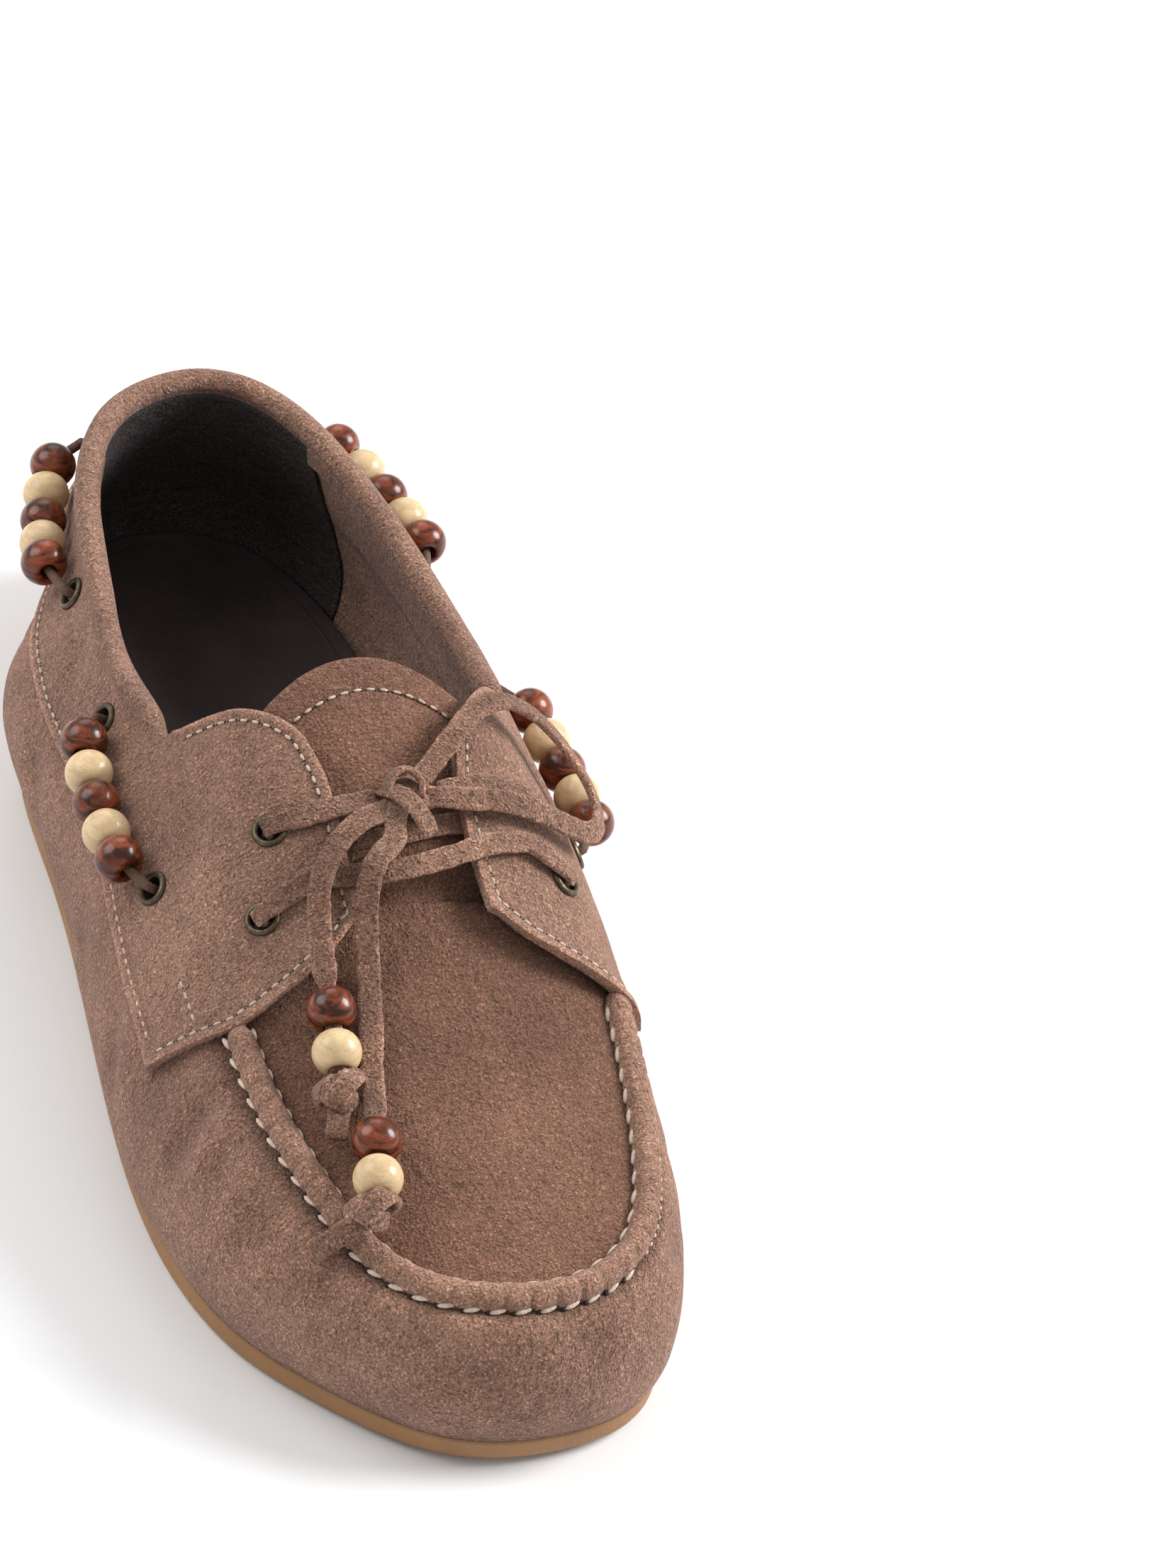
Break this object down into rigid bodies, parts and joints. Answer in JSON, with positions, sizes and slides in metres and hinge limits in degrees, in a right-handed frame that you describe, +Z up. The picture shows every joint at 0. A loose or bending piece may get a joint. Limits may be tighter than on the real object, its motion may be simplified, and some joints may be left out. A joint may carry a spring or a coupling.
{
  "type": "lace-up moccasin shoe",
  "caption": "Soft suede lace-up moccasin for the right foot, with a free tongue, rows of wooden beads and a thin rubber sole.",
  "frame": {"origin": "on the floor under the middle of the sole, on the sole's flat bottom", "axes": "+Z up, -Y towards the toe, +X towards the big toe side"},
  "size_m": [0.1, 0.2492, 0.0711],
  "materials": {
    "gum_rubber": "satin caramel rubber",
    "footbed": "dark brown leather, worn",
    "suede": "taupe suede with a short nap",
    "tongue_suede": "browner suede",
    "lace_suede": "soft suede strip with fuzzy edges",
    "thong": "brown waxed leather thong",
    "aged_brass": "aged, worn brass",
    "dark_wood": "red-brown stained and varnished",
    "pale_wood": "pale cream, lightly polished"
  },
  "bodies": {
    "root": {"outsole": "gum_rubber", "insole": "footbed", "upper": "suede", "tongue": "tongue_suede", "eyelet_front_outer_toe": "aged_brass", "eyelet_front_outer_heel": "aged_brass", "eyelet_front_inner_toe": "aged_brass", "eyelet_front_inner_heel": "aged_brass", "eyelet_heel_outer_toe": "aged_brass", "eyelet_heel_outer_heel": "aged_brass", "eyelet_heel_inner_toe": "aged_brass", "eyelet_heel_inner_heel": "aged_brass", "eyelet_lace_outer_upper": "aged_brass", "eyelet_lace_outer_lower": "aged_brass", "eyelet_lace_inner_upper": "aged_brass", "eyelet_lace_inner_lower": "aged_brass", "bead_front_outer_1": "dark_wood", "bead_front_outer_2": "pale_wood", "bead_front_outer_3": "dark_wood", "bead_front_outer_4": "pale_wood", "bead_front_outer_5": "dark_wood", "thong_front_outer": "thong", "bead_front_inner_1": "dark_wood", "bead_front_inner_2": "pale_wood", "bead_front_inner_3": "dark_wood", "bead_front_inner_4": "pale_wood", "bead_front_inner_5": "dark_wood", "thong_front_inner": "thong", "bead_heel_outer_1": "dark_wood", "bead_heel_outer_2": "pale_wood", "bead_heel_outer_3": "dark_wood", "bead_heel_outer_4": "pale_wood", "bead_heel_outer_5": "dark_wood", "thong_heel_outer": "thong", "bead_heel_inner_1": "dark_wood", "bead_heel_inner_2": "pale_wood", "bead_heel_inner_3": "dark_wood", "bead_heel_inner_4": "pale_wood", "bead_heel_inner_5": "dark_wood", "thong_heel_inner": "thong", "lace_bar_lower": "lace_suede", "lace_bar_under": "lace_suede", "lace_bar_upper_outer": "lace_suede", "lace_bar_upper_inner": "lace_suede", "lace_knot": "lace_suede", "lace_loop": "lace_suede", "lace_end_outer": "lace_suede", "lace_bead_outer_dark": "dark_wood", "lace_bead_outer_pale": "pale_wood", "lace_end_outer_knot": "lace_suede", "lace_end_inner": "lace_suede", "lace_bead_inner_dark": "dark_wood", "lace_bead_inner_pale": "pale_wood", "lace_end_inner_knot": "lace_suede"}
  },
  "joints": []
}
